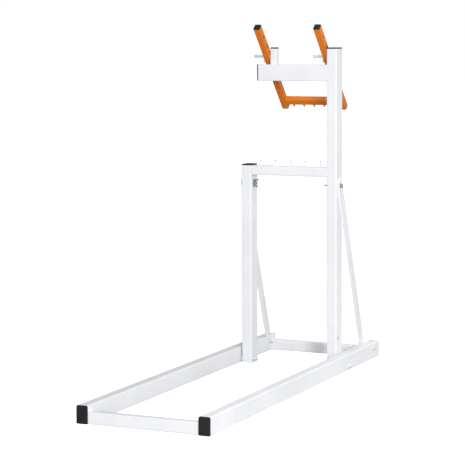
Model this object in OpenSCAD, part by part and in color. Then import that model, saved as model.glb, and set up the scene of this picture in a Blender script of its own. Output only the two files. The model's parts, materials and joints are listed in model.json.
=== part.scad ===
// Log saw stand: a welded and bolted tube frame with a swinging spiked jaw.
// Millimetres. +Z is up, +Y points to the rear along the base rails, +X to the side of the tall post.
// The origin lies on the floor, in the middle of the base.

/* [Base] */
// Length of each base rail tube, without its end caps
rail_l = 1500; // [1000:10:2000]
// Width of the base over both rails
base_w = 470; // [440:5:600]
// Height of the rail tube
rail_h = 60; // [50:1:70]
// Width of the rail tube
rail_w = 40; // [30:1:50]
// Height of the two cross tubes
cross_h = 40; // [30:1:50]
// Depth of the two cross tubes along the rails
cross_d = 30; // [20:1:40]

/* [Posts] */
// Distance from the rear ends of the rail tubes to the front of the posts
post_reach = 325; // [220:5:600]
// Width of the post tube across the stand
post_w = 40; // [30:1:50]
// Depth of the post tube along the rails
post_d = 60; // [54:1:70]
// Height of the tall post tube
near_post_h = 1175; // [1030:5:1400]
// Height of the short post tube, level with the top of the lower beam
far_post_h = 743; // [600:1:840]
// Height of the spare hole in the outer wall of each post
spare_hole_z = 115; // [90:5:200]
// Diameter of the spare hole
spare_hole_d = 10; // [6:0.5:14]
// Distance from the front of a post to its spare hole and its base bolt
low_hole_in = 17; // [16:1:40]

/* [Beams] */
// Height of the lower beam tube
lower_beam_h = 35; // [25:1:45]
// Depth of the lower beam tube
lower_beam_d = 35; // [25:1:45]
// Distance from the top of the tall post tube down to the top of the upper beam
upper_beam_drop = 58; // [50:1:90]
// Height of the upper beam tube
upper_beam_h = 60; // [50:1:66]
// Depth of the upper beam tube
upper_beam_d = 30; // [25:1:34]
// Length of the upper beam tube, from the tall post to its open end
upper_beam_l = 270; // [250:1:320]

/* [Tube walls] */
// Wall thickness of every tube
wall = 2; // [1.5:0.1:3]
// Outside corner radius of the rail and post tubes
corner_r = 5; // [3.5:0.5:7]
// Outside corner radius of the cross tubes and beams
beam_corner_r = 4; // [3.5:0.5:6]
// Outside corner radius of the square tubes of stub and jaw
small_corner_r = 3.5; // [3.2:0.1:5]

/* [Jaw and pivot] */
// Outside size of the square tube of stub, arms and jaw bar
arm_s = 25; // [22:1:28]
// Distance between the two faces that the jaw arms turn against
support_span = 235; // [200:5:260]
// Height of the jaw's pivot axis above the top of the upper beam
pivot_rise = 30; // [24:1:34]
// Length of a jaw arm above the pivot
arm_up = 142; // [140:1:200]
// Length of a jaw arm below the pivot
arm_down = 260; // [230:5:300]
// Distance between the pin holes in a jaw arm
hole_pitch = 47.5; // [35:0.5:55]
// Number of spare pin holes above the pivot
spare_holes = 2; // [1:1:2]
// Lean of the jaw arms, tops to the front
jaw_angle = 42; // [20:1:60]
// Length of jaw arm left below the jaw bar
arm_tail = 21; // [4:1:40]
// Diameter of the pivot pins
pin_d = 10; // [8:0.5:12]
// Width of the flat ring of a pin washer round its hole
pin_washer_rim = 5; // [3:0.5:6]
// Length of pin that stands free beyond an arm
pin_free = 41; // [24:1:45]
// Radial running clearance of an arm on its pin
pin_fit = 0.05; // [0.02:0.01:0.1]
// Gap on each side of a part that turns between flat faces
side_gap = 0.2; // [0.1:0.05:0.4]
// Wire diameter of the pin clips
clip_wire = 2.5; // [2:0.1:2.8]

/* [Spikes] */
// Number of spikes on the lower beam
lower_spikes_n = 5; // [3:1:9]
// Distance from a post to the middle of the first spike on the lower beam
lower_spike_edge = 30; // [10:1:60]
// Height of the spikes on the lower beam
lower_spike_h = 22; // [12:1:30]
// Number of spikes under the jaw bar
jaw_spikes_n = 5; // [3:1:9]
// Distance from a jaw arm to the middle of the first spike under the jaw bar
jaw_spike_edge = 23; // [10:0.5:50]
// Length of the spikes under the jaw bar
jaw_spike_h = 20; // [8:1:24]
// Width of a spike at its root
spike_w = 11; // [8:1:14]
// Width left at the point of a spike
spike_tip = 2; // [1:0.5:4]
// Plate thickness of a spike
spike_t = 6; // [4:0.5:8]

/* [Braces] */
// Width of the flat bar of a brace
brace_w = 40; // [28:1:45]
// Thickness of the flat bar of a brace
brace_t = 5; // [4:0.5:8]
// Distance from the top of the short post tube down to the upper bolts of the braces
brace_head_drop = 67; // [60:1:300]
// Distance from the rear ends of the rail tubes to the lower bolts of the braces
brace_foot_in = 62; // [60:1:160]
// Height of the brace's lower bolt
brace_foot_z = 40; // [34:1:44]
// Length of a brace beyond the middle of each of its bolts
brace_end = 20; // [16:1:24]
// Height of the bolt that holds a post to its rail
base_bolt_z = 15; // [13:1:20]

/* [Fasteners] */
// Thread diameter of the bolts
bolt_d = 8; // [6:1:10]
// Radial clearance of a bolt in its holes
bolt_gap = 0.25; // [0.1:0.05:0.5]
// Width of bolt heads and nuts across their flats
hex_af = 13; // [12.5:0.5:16]
// Height of a bolt head
head_h = 5.3; // [4:0.1:7]
// Height of the hexagon of a lock nut
nut_h = 6; // [5:0.1:8]
// Height of the nut's locking collar
collar_h = 2; // [1:0.1:3]
// Outside diameter of the plain washers
washer_d = 17; // [16:0.5:20]
// Outside diameter of the wide washers inside the posts
wide_washer_d = 30; // [22:1:36]
// Thickness of the washers
washer_t = 1.6; // [1:0.1:2.5]
// Length of thread that shows beyond a nut
bolt_tail = 9; // [3:1:14]
// Height of the hub of a wing nut
wing_hub_h = 7.5; // [6:0.5:10]
// Diameter of the hub at its seat
wing_hub_d = 15; // [14:0.5:18]
// Narrowing of the hub from its seat to its top
wing_hub_taper = 3; // [1:0.5:4]
// Span over both wings of a wing nut
wing_span = 33; // [28:1:40]
// Height of the wings' tips over the seat
wing_h = 15; // [13:0.5:20]
// Radius of the wings' round tips
wing_tip_r = 3.5; // [2.5:0.5:5]
// Thickness of a wing
wing_t = 3; // [2:0.5:4]
// Length of thread that shows beyond a wing nut
wing_tail = 3; // [1:0.5:6]
// Turn of the wing nut on the tall post
near_wing_turn = 90; // [0:1:180]
// Turn of the wing nut on the short post
far_wing_turn = -12; // [-90:1:90]

/* [End caps] */
// Thickness of the head of an end cap
cap_head = 5; // [3:0.5:8]
// Rounding of the edge of an end cap
cap_edge = 1.5; // [0.5:0.1:2]
// Depth of the plug of an end cap inside its tube
cap_plug = 15; // [10:1:20]
// Gap between the ribs of a plug and the tube
cap_fit = 0.2; // [0.1:0.05:0.4]
// Height of a plug's ribs
cap_rib = 1; // [0.6:0.1:1.5]

/* [Hidden] */
$fn = 64;
white = "#e9ebee";
orange = "#d9700f";
black = "#1e1e22";
zinc = "#b9bdc1";

rail_end = rail_l / 2;
rail_x = base_w / 2 - rail_w / 2;
rail_inner = base_w / 2 - rail_w;
post_outer = rail_inner - brace_t;
post_inner = post_outer - post_w;
post_x = (post_outer + post_inner) / 2;
post_y0 = rail_end - post_reach;
post_mid_y = post_y0 + post_d / 2;
low_hole_y = post_y0 + low_hole_in;
brace_foot_y = rail_end - brace_foot_in;
brace_head_z = far_post_h - brace_head_drop;
upper_beam_z = near_post_h - upper_beam_drop - upper_beam_h;
pivot_y = post_y0 + upper_beam_d + arm_s / 2;
pivot_z = upper_beam_z + upper_beam_h + pivot_rise;

washer_gap = washer_t + 2 * side_gap;
stub_left = post_inner - support_span;
near_arm_x = post_inner - washer_gap - arm_s / 2;
far_arm_x = stub_left - washer_gap - arm_s / 2;
jaw_bar_x = far_arm_x + arm_s / 2;
jaw_bar_l = support_span - arm_s;
jaw_bar_drop = arm_down - arm_tail - arm_s / 2;
hole_r = bolt_d / 2 + bolt_gap;
outer_washer_x = washer_gap + arm_s + side_gap;
clip_x = outer_washer_x + washer_t + side_gap + clip_wire / 2;
pin_hole_r = pin_d / 2 + pin_fit;

// Ribs of an end cap: thickness, number, and wall of the plug inside them
rib_t = 1.2;
rib_n = 3;
cap_shell = 2;
// Chamfer on bolt ends, pin ends, heads and nuts, and how far a head's top lies inside its flats
chamfer = 0.8;
head_inset = 0.4;
// Bends of a pin clip: wave and loop radius, gap between its legs, leg beyond the pin, sides, steps
clip_bend_r = 4;
clip_loop_r = 4.5;
clip_gap = 0.4;
clip_leg = 5;
wire_sides = 10;
bend_steps = 8;
// How far a cutter reaches past what it cuts
over = 5;

// Flat outline of a tube's outside: a rectangle with round corners
module round_rect(w, h, r) {
    square([w - 2 * r, h], center = true);
    square([w, h - 2 * r], center = true);
    for (x = [-1, 1], y = [-1, 1])
        translate([x * (w / 2 - r), y * (h / 2 - r)]) circle(r);
}

// Tube along +Z from the origin
module tube(w, h, l, r) {
    linear_extrude(l)
        difference() {
            round_rect(w, h, r);
            round_rect(w - 2 * wall, h - 2 * wall, r - wall);
        }
}

// Turn a shape that stands on +Z so that it runs along +Y, its second size staying upright
module along_y() {
    rotate([-90, 0, 0]) children();
}

// Turn a shape that stands on +Z so that it runs along +X, its first size staying along Y
module along_x() {
    rotate([0, 90, 0]) rotate([0, 0, 90]) children();
}

// Both sides of the stand, the second one mirrored
module both_sides() {
    children();
    mirror([1, 0, 0]) children();
}

// Cylinder along +X from the origin
module rod_x(r, l) {
    rotate([0, 90, 0]) cylinder(r = r, h = l);
}

// Long cutter along X through a point, for bolt holes
module drill_x(r, x, y, z, l) {
    translate([x - l / 2, y, z]) rod_x(r, l);
}

// Plastic end cap that sits on a tube's end at z = 0, its plug pointing down
module end_cap(w, h, r) {
    in_w = w - 2 * wall;
    in_h = h - 2 * wall;
    in_r = r - wall;
    plug_in = cap_rib + cap_fit;
    bore_in = plug_in + cap_shell;
    hull() {
        linear_extrude(cap_head - cap_edge) round_rect(w, h, r, $fn = 32);
        linear_extrude(cap_head) round_rect(w - 2 * cap_edge, h - 2 * cap_edge, r - cap_edge, $fn = 32);
    }
    translate([0, 0, -cap_plug])
        linear_extrude(cap_plug)
            difference() {
                round_rect(in_w - 2 * plug_in, in_h - 2 * plug_in, in_r / 2);
                square([in_w - 2 * bore_in, in_h - 2 * bore_in], center = true);
            }
    for (i = [1 : rib_n])
        translate([0, 0, -i * cap_plug / (rib_n + 0.5)])
            linear_extrude(rib_t)
                difference() {
                    round_rect(in_w - 2 * cap_fit, in_h - 2 * cap_fit, in_r);
                    square([in_w - 2 * bore_in, in_h - 2 * bore_in], center = true);
                }
}

// Hexagon along +X from the origin, its outer corners rounded off at the far end
module hex_x(h) {
    corner_d = hex_af / cos(30);
    rotate([0, 90, 0])
        intersection() {
            cylinder(d = corner_d, h = h, $fn = 6);
            union() {
                cylinder(d = corner_d + over, h = h - chamfer);
                translate([0, 0, h - chamfer])
                    cylinder(d1 = corner_d, d2 = hex_af - head_inset, h = chamfer);
            }
        }
}

// Hexagon bolt: the head stands on the plane x = 0 towards +X, the shank runs towards -X
module bolt(l) {
    hex_x(head_h);
    translate([chamfer - l, 0, 0]) rod_x(bolt_d / 2, l - chamfer);
    translate([-l, 0, 0])
        rotate([0, 90, 0]) cylinder(d1 = bolt_d - 2 * chamfer, d2 = bolt_d, h = chamfer);
}

// Lock nut on the plane x = 0, standing towards -X
module lock_nut() {
    difference() {
        mirror([1, 0, 0]) {
            hex_x(nut_h);
            translate([nut_h - chamfer, 0, 0]) rod_x(hex_af / 2 - chamfer, collar_h + chamfer);
        }
        translate([-nut_h - collar_h - over, 0, 0]) rod_x(hole_r, nut_h + collar_h + 2 * over);
    }
}

// One wing of a wing nut, rising along +Z from the hub and standing towards -X
module wing() {
    foot = [wing_hub_d / 2 - 0.5, 1];
    tip = [wing_span / 2 - wing_tip_r, wing_h - wing_tip_r];
    way = (tip - foot) / norm(tip - foot);
    side = wing_tip_r * [way[1], -way[0]];
    root = [2, 1];
    top = [wing_hub_d / 2 - wing_hub_taper, wing_hub_h - 0.5];
    rotate([0, -90, 0])
        rotate([90, 0, 0])
            translate([0, 0, -wing_t / 2])
                linear_extrude(wing_t) {
                    polygon([root, foot, tip + side, tip - side, top, [root[0], top[1]]]);
                    translate(tip) circle(wing_tip_r);
                }
}

// Wing nut on the plane x = 0, standing towards -X, its wings upright before the turn
module wing_nut(turn) {
    rotate([turn, 0, 0])
        difference() {
            union() {
                rotate([0, -90, 0])
                    cylinder(d1 = wing_hub_d, d2 = wing_hub_d - wing_hub_taper, h = wing_hub_h);
                for (half = [0, 180]) rotate([half, 0, 0]) wing();
            }
            translate([-wing_hub_h - over, 0, 0]) rod_x(hole_r, wing_hub_h + 2 * over);
        }
}

// Washer on the plane x = 0, standing towards -X
module washer(d, hole, t) {
    translate([-t, 0, 0])
        difference() {
            rod_x(d / 2, t);
            translate([-over, 0, 0]) rod_x(hole, t + 2 * over);
        }
}

// Pointed plate: root on z = 0, point up, thickness along Y
module spike(h) {
    translate([0, spike_t / 2, 0])
        rotate([90, 0, 0])
            linear_extrude(spike_t)
                polygon([[-spike_w / 2, 0], [spike_w / 2, 0], [spike_tip / 2, h], [-spike_tip / 2, h]]);
}

// Row of n children along X, spread evenly from one x to another
module row_x(n, from, to) {
    for (i = [0 : n - 1])
        translate([from + (to - from) * i / (n - 1), 0, 0]) children();
}

// Jaw's own frame: pivot at the origin, arms upright, leaned to where the jaw rests
module jaw_frame() {
    translate([0, pivot_y, pivot_z]) rotate([jaw_angle, 0, 0]) children();
}

// Base

module rail() {
    difference() {
        translate([rail_x, -rail_end, rail_h / 2]) along_y() tube(rail_w, rail_h, rail_l, corner_r);
        drill_x(hole_r, rail_x, brace_foot_y, brace_foot_z, rail_w + 2 * over);
        drill_x(hole_r, rail_x, low_hole_y, base_bolt_z, rail_w + 2 * over);
    }
}

module near_rail() {
    color(white) rail();
}

module far_rail() {
    color(white) mirror([1, 0, 0]) rail();
}

module crossbar(y) {
    color(white)
        translate([-rail_inner, y, cross_h / 2])
            along_x() tube(cross_d, cross_h, 2 * rail_inner, beam_corner_r);
}

module front_crossbar() {
    crossbar(cross_d / 2 - rail_end);
}

module rear_crossbar() {
    crossbar(rail_end - cross_d / 2);
}

module rail_caps(end) {
    color(black)
        both_sides()
            translate([rail_x, end * rail_end, rail_h / 2])
                rotate([-90 * end, 0, 0]) end_cap(rail_w, rail_h, corner_r);
}

module rail_front_caps() {
    rail_caps(-1);
}

module rail_rear_caps() {
    rail_caps(1);
}

// Posts and beams

module post(h) {
    difference() {
        translate([post_x, post_mid_y, 0]) tube(post_w, post_d, h, corner_r);
        drill_x(hole_r, post_x, post_mid_y, brace_head_z, post_w + 2 * over);
        drill_x(hole_r, post_x, low_hole_y, base_bolt_z, post_w + 2 * over);
        drill_x(spare_hole_d / 2, post_outer, low_hole_y, spare_hole_z, post_w);
    }
}

module near_post() {
    color(white)
        difference() {
            post(near_post_h);
            drill_x(pin_hole_r, post_inner, pivot_y, pivot_z, post_w);
        }
}

module far_post() {
    color(white) mirror([1, 0, 0]) post(far_post_h);
}

module post_caps() {
    color(black) {
        translate([post_x, post_mid_y, near_post_h]) end_cap(post_w, post_d, corner_r);
        translate([-post_x, post_mid_y, far_post_h]) end_cap(post_w, post_d, corner_r);
    }
}

module lower_beam() {
    color(white)
        translate([-post_inner, post_y0 + lower_beam_d / 2, far_post_h - lower_beam_h / 2])
            along_x() tube(lower_beam_d, lower_beam_h, 2 * post_inner, beam_corner_r);
}

module lower_spikes() {
    color(white)
        translate([0, post_y0 + lower_beam_d / 2, far_post_h])
            row_x(lower_spikes_n, lower_spike_edge - post_inner, post_inner - lower_spike_edge)
                spike(lower_spike_h);
}

module upper_beam() {
    color(white)
        translate([post_inner - upper_beam_l, post_y0 + upper_beam_d / 2, upper_beam_z + upper_beam_h / 2])
            along_x() tube(upper_beam_d, upper_beam_h, upper_beam_l, beam_corner_r);
}

module upper_beam_cap() {
    color(black)
        translate([post_inner - upper_beam_l, post_y0 + upper_beam_d / 2, upper_beam_z + upper_beam_h / 2])
            mirror([1, 0, 0]) along_x() end_cap(upper_beam_d, upper_beam_h, beam_corner_r);
}

module pivot_stub() {
    color(white)
        difference() {
            translate([stub_left + arm_s / 2, pivot_y, upper_beam_z])
                tube(arm_s, arm_s, near_post_h - upper_beam_z, small_corner_r);
            drill_x(pin_hole_r, stub_left + arm_s / 2, pivot_y, pivot_z, arm_s + 2 * over);
        }
}

module stub_cap() {
    color(black)
        translate([stub_left + arm_s / 2, pivot_y, near_post_h]) end_cap(arm_s, arm_s, small_corner_r);
}

// Braces and their bolts

module brace() {
    reach = [brace_foot_y - post_mid_y, brace_foot_z - brace_head_z];
    lean = atan2(reach[0], -reach[1]);
    difference() {
        translate([post_outer, post_mid_y, brace_head_z])
            rotate([lean, 0, 0])
                translate([0, -brace_w / 2, -norm(reach) - brace_end])
                    cube([brace_t, brace_w, norm(reach) + 2 * brace_end]);
        drill_x(hole_r, post_outer + brace_t / 2, post_mid_y, brace_head_z, brace_t + 2 * over);
        drill_x(hole_r, post_outer + brace_t / 2, brace_foot_y, brace_foot_z, brace_t + 2 * over);
    }
}

module near_brace() {
    color(white) brace();
}

module far_brace() {
    color(white) mirror([1, 0, 0]) brace();
}

module brace_head_bolts() {
    color(zinc)
        both_sides()
            translate([post_outer + brace_t + washer_t, post_mid_y, brace_head_z])
                bolt(brace_t + post_w + 2 * washer_t + wing_hub_h + wing_tail);
}

module brace_head_washers() {
    color(zinc)
        both_sides() {
            translate([post_outer + brace_t + washer_t, post_mid_y, brace_head_z])
                washer(washer_d, hole_r, washer_t);
            translate([post_inner, post_mid_y, brace_head_z]) washer(wide_washer_d, hole_r, washer_t);
        }
}

module brace_head_nuts() {
    seat = [post_inner - washer_t, post_mid_y, brace_head_z];
    color(zinc) {
        translate(seat) wing_nut(near_wing_turn);
        mirror([1, 0, 0]) translate(seat) wing_nut(far_wing_turn);
    }
}

module brace_foot_bolts() {
    color(zinc)
        both_sides()
            translate([base_w / 2 + washer_t, brace_foot_y, brace_foot_z])
                bolt(rail_w + brace_t + 2 * washer_t + nut_h + collar_h + bolt_tail);
}

module brace_foot_washers() {
    color(zinc)
        both_sides()
            for (x = [base_w / 2 + washer_t, post_outer])
                translate([x, brace_foot_y, brace_foot_z]) washer(washer_d, hole_r, washer_t);
}

module brace_foot_nuts() {
    color(zinc)
        both_sides() translate([post_outer - washer_t, brace_foot_y, brace_foot_z]) lock_nut();
}

module post_base_bolts() {
    color(zinc)
        both_sides()
            translate([base_w / 2 + washer_t, low_hole_y, base_bolt_z])
                bolt(rail_w + brace_t + post_w + 2 * washer_t + nut_h + collar_h + bolt_tail);
}

module post_base_washers() {
    color(zinc)
        both_sides()
            for (x = [base_w / 2 + washer_t, post_inner])
                translate([x, low_hole_y, base_bolt_z]) washer(washer_d, hole_r, washer_t);
}

module post_base_nuts() {
    color(zinc)
        both_sides() translate([post_inner - washer_t, low_hole_y, base_bolt_z]) lock_nut();
}

module post_spacers() {
    color(zinc)
        both_sides()
            translate([rail_inner, low_hole_y, base_bolt_z]) washer(washer_d, hole_r, brace_t);
}

// Pivot pins with their washers and clips; both pins point to the open side, towards -X

module at_supports() {
    for (x = [stub_left, post_inner])
        translate([x, pivot_y, pivot_z]) children();
}

module pin(inside) {
    free_end = washer_gap + arm_s + pin_free;
    difference() {
        union() {
            translate([chamfer - free_end, 0, 0]) rod_x(pin_d / 2, free_end - chamfer + inside);
            translate([-free_end, 0, 0])
                rotate([0, 90, 0]) cylinder(d1 = pin_d - 2 * chamfer, d2 = pin_d, h = chamfer);
        }
        translate([-clip_x, 0, -pin_d]) cylinder(d = clip_wire + 2 * bolt_gap, h = 2 * pin_d);
    }
}

module pivot_pins() {
    color(zinc) {
        translate([stub_left, pivot_y, pivot_z]) pin(arm_s);
        translate([post_inner, pivot_y, pivot_z]) pin(post_w - wall);
    }
}

module pin_washer() {
    washer(pin_d + 2 * pin_washer_rim, pin_d / 2 + bolt_gap, washer_t);
}

module pivot_inner_washers() {
    color(zinc)
        at_supports() translate([-side_gap, 0, 0]) pin_washer();
}

module pivot_outer_washers() {
    color(zinc)
        at_supports() translate([-outer_washer_x, 0, 0]) pin_washer();
}

// Points of an arc about (y, z), in equal steps
function arc(y, z, r, from, to, n) =
    [for (i = [0 : n]) let (a = from + (to - from) * i / n) [y + r * cos(a), z + r * sin(a)]];

// Direction of a path at its point i
function heading(path, i) =
    let (d = path[min(i + 1, len(path) - 1)] - path[max(i - 1, 0)]) d / norm(d);

// Round wire along a path of [y, z] points in the plane x = 0
module wire(path, d) {
    n = len(path);
    m = wire_sides;
    rings = [for (i = [0 : n - 1], j = [0 : m - 1])
        let (t = heading(path, i), a = 360 * j / m, out = d / 2 * cos(a))
        [d / 2 * sin(a), path[i][0] + out * t[1], path[i][1] - out * t[0]]];
    sides = [for (i = [0 : n - 2], j = [0 : m - 1])
        let (k = (j + 1) % m) [i * m + j, i * m + k, (i + 1) * m + k, (i + 1) * m + j]];
    first = [for (j = [m - 1 : -1 : 0]) j];
    last = [for (j = [0 : m - 1]) (n - 1) * m + j];
    polyhedron(rings, concat([first], sides, [last]));
}

// Hairpin clip: a straight leg through the pin, a loop below, and a waved leg round the pin
module hairpin_clip() {
    hug_r = pin_d / 2 + bolt_gap + clip_wire / 2;
    wave_r = hug_r + clip_bend_r;
    wave_a = acos((clip_bend_r + clip_wire + clip_gap) / wave_r);
    wave_y = wave_r * cos(wave_a);
    wave_z = wave_r * sin(wave_a);
    neck_y = wave_y - clip_bend_r * cos(wave_a);
    neck_z = -wave_z - clip_bend_r * sin(wave_a);
    slope = (clip_loop_r * (1 + cos(wave_a)) - neck_y) / sin(wave_a);
    loop_z = neck_z - slope * cos(wave_a) - clip_loop_r * sin(wave_a);
    hug = arc(0, 0, hug_r, -wave_a, wave_a, bend_steps);
    flare = arc(wave_y, wave_z, clip_bend_r, 180 + wave_a, 180 - wave_a, bend_steps);
    wire(concat([[0, pin_d / 2 + clip_leg]],
                arc(clip_loop_r, loop_z, clip_loop_r, 180, 360 + wave_a, 2 * bend_steps),
                arc(wave_y, -wave_z, clip_bend_r, 180 + wave_a, 180 - wave_a, bend_steps),
                [for (i = [1 : bend_steps]) hug[i]],
                [for (i = [1 : bend_steps]) flare[i]]),
         clip_wire);
}

module pin_clips() {
    color(zinc) at_supports() translate([-clip_x, 0, 0]) hairpin_clip();
}

// Jaw

module jaw_arm(x) {
    color(orange)
        jaw_frame()
            difference() {
                translate([x, 0, -arm_down]) tube(arm_s, arm_s, arm_down + arm_up, small_corner_r);
                for (i = [0 : spare_holes])
                    drill_x(pin_hole_r, x, 0, i * hole_pitch, arm_s + 2 * over);
            }
}

module near_jaw_arm() {
    jaw_arm(near_arm_x);
}

module far_jaw_arm() {
    jaw_arm(far_arm_x);
}

module jaw_bar() {
    color(orange)
        jaw_frame()
            translate([jaw_bar_x, 0, -jaw_bar_drop])
                along_x() tube(arm_s, arm_s, jaw_bar_l, small_corner_r);
}

module jaw_spikes() {
    color(orange)
        jaw_frame()
            translate([0, 0, -jaw_bar_drop - arm_s / 2])
                row_x(jaw_spikes_n, jaw_bar_x + jaw_spike_edge, jaw_bar_x + jaw_bar_l - jaw_spike_edge)
                    mirror([0, 0, 1]) spike(jaw_spike_h);
}

module jaw_arm_caps() {
    color(black)
        jaw_frame()
            for (x = [far_arm_x, near_arm_x])
                translate([x, 0, arm_up]) end_cap(arm_s, arm_s, small_corner_r);
}

near_rail();
far_rail();
front_crossbar();
rear_crossbar();
near_post();
far_post();
lower_beam();
upper_beam();
pivot_stub();
lower_spikes();
near_brace();
far_brace();
rail_front_caps();
rail_rear_caps();
post_caps();
upper_beam_cap();
stub_cap();
brace_head_bolts();
brace_head_washers();
brace_head_nuts();
brace_foot_bolts();
brace_foot_washers();
brace_foot_nuts();
post_base_bolts();
post_base_washers();
post_base_nuts();
post_spacers();
pivot_pins();
pivot_inner_washers();
pivot_outer_washers();
pin_clips();
near_jaw_arm();
far_jaw_arm();
jaw_bar();
jaw_spikes();
jaw_arm_caps();
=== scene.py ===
"""Finish of the log saw stand: coats, welds, threads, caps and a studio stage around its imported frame."""

import json
import math

import bmesh
import bpy
from bpy.props import FloatProperty, FloatVectorProperty, IntProperty, PointerProperty
from mathutils import Euler, Matrix, Vector


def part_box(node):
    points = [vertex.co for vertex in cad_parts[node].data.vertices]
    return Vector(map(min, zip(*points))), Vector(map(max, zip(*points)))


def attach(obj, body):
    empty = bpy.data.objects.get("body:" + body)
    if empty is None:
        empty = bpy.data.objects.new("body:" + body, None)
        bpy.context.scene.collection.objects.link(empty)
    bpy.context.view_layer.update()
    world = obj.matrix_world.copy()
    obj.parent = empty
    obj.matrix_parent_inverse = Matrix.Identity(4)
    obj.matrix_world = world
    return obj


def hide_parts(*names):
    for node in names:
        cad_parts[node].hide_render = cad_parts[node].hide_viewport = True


bl_info = {
    "name": "Log Saw Stand",
    "version": (1, 0, 0),
    "blender": (4, 5, 0),
    "location": "3D View > Sidebar > Saw Stand",
    "description": "Dresses the packed frame of a log saw stand and sets up its studio stage",
    "category": "Object",
}

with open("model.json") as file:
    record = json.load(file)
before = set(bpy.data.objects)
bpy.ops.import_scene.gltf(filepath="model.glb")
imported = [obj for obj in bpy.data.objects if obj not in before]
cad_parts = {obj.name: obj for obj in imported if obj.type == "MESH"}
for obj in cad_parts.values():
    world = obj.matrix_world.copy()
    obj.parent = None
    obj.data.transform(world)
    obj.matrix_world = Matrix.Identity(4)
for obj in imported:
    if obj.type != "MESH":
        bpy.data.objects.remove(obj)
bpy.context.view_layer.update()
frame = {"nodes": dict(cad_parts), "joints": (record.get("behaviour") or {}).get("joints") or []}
JOINT = frame["joints"][0]
PIVOT = Vector(JOINT["pos_m"])
SENSOR_MM = 36.0

X = Vector((1, 0, 0))
Y = Vector((0, 1, 0))
Z = Vector((0, 0, 1))

WHITE_NODES = (
    "near_rail", "far_rail", "front_crossbar", "rear_crossbar", "near_post", "far_post",
    "lower_beam", "upper_beam", "pivot_stub",
)


def linear(hex_colour):
    """Linear RGBA of an sRGB hex colour."""
    parts = [int(hex_colour[i:i + 2], 16) / 255 for i in (1, 3, 5)]
    return tuple(c / 12.92 if c <= 0.04045 else ((c + 0.055) / 1.055) ** 2.4 for c in parts) + (1.0,)


class SawStandSizes(bpy.types.PropertyGroup):
    """Sizes of the details that the frame leaves to the finish."""

    weld_leg: FloatProperty(name="Weld leg", description="Leg length of the tube welds",
                            default=0.004, unit="LENGTH")
    spike_weld_leg: FloatProperty(name="Spike weld leg", default=0.0025, unit="LENGTH",
                                  description="Leg length of the welds round the spikes")
    weld_ripple: FloatProperty(name="Weld ripple", description="Distance between the ripples of a weld",
                               default=0.0024, unit="LENGTH")
    large_corner: FloatProperty(name="Large corner", description="Corner radius of the rail and post tubes",
                                default=0.005, unit="LENGTH")
    beam_corner: FloatProperty(name="Beam corner", description="Corner radius of the cross tubes and beams",
                               default=0.004, unit="LENGTH")
    small_corner: FloatProperty(name="Small corner", description="Corner radius of the stub and jaw tubes",
                                default=0.0035, unit="LENGTH")
    tube_wall: FloatProperty(name="Tube wall", description="Wall thickness of the tubes",
                             default=0.002, unit="LENGTH")
    cap_edge: FloatProperty(name="Cap edge", description="Rounding of the edge of an end cap",
                            default=0.001, unit="LENGTH")
    arm_cap_edge: FloatProperty(name="Arm cap edge", description="Rounding of the edge of a jaw arm's cap",
                                default=0.0018, unit="LENGTH")
    cap_dome: FloatProperty(name="Cap dome", description="Rise of an end cap's face over its edge",
                            default=0.0004, unit="LENGTH")
    bolt_d: FloatProperty(name="Bolt", description="Thread diameter of the bolts",
                          default=0.008, unit="LENGTH")
    bolt_pitch: FloatProperty(name="Pitch", description="Thread pitch of the bolts",
                              default=0.00125, unit="LENGTH")
    hex_af: FloatProperty(name="Across flats", description="Width of heads and nuts across their flats",
                          default=0.013, unit="LENGTH")
    head_h: FloatProperty(name="Head height", description="Height of a bolt head",
                          default=0.0053, unit="LENGTH")
    nut_h: FloatProperty(name="Nut height", description="Height of a nut's hexagon",
                         default=0.006, unit="LENGTH")
    collar_h: FloatProperty(name="Collar height", description="Height of a nut's locking collar",
                            default=0.002, unit="LENGTH")
    washer_d: FloatProperty(name="Washer", description="Diameter of the plain washers",
                            default=0.017, unit="LENGTH")
    wide_washer_d: FloatProperty(name="Wide washer", description="Diameter of the washers inside the posts",
                                 default=0.030, unit="LENGTH")
    washer_t: FloatProperty(name="Washer thickness", description="Thickness of the washers",
                            default=0.0016, unit="LENGTH")
    clip_wire: FloatProperty(name="Clip wire", description="Wire diameter of the pin clips",
                             default=0.0025, unit="LENGTH")
    edge_break: FloatProperty(name="Edge break", description="Rounding of sheared and sawn edges",
                              default=0.0005, unit="LENGTH")
    jaw_lean: FloatProperty(name="Jaw lean", description="Lean of the jaw arms at rest, tops to the front",
                            default=math.radians(42), subtype="ANGLE")
    ring_steps: IntProperty(name="Ring steps", description="Points round a turned piece", default=36)


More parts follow.
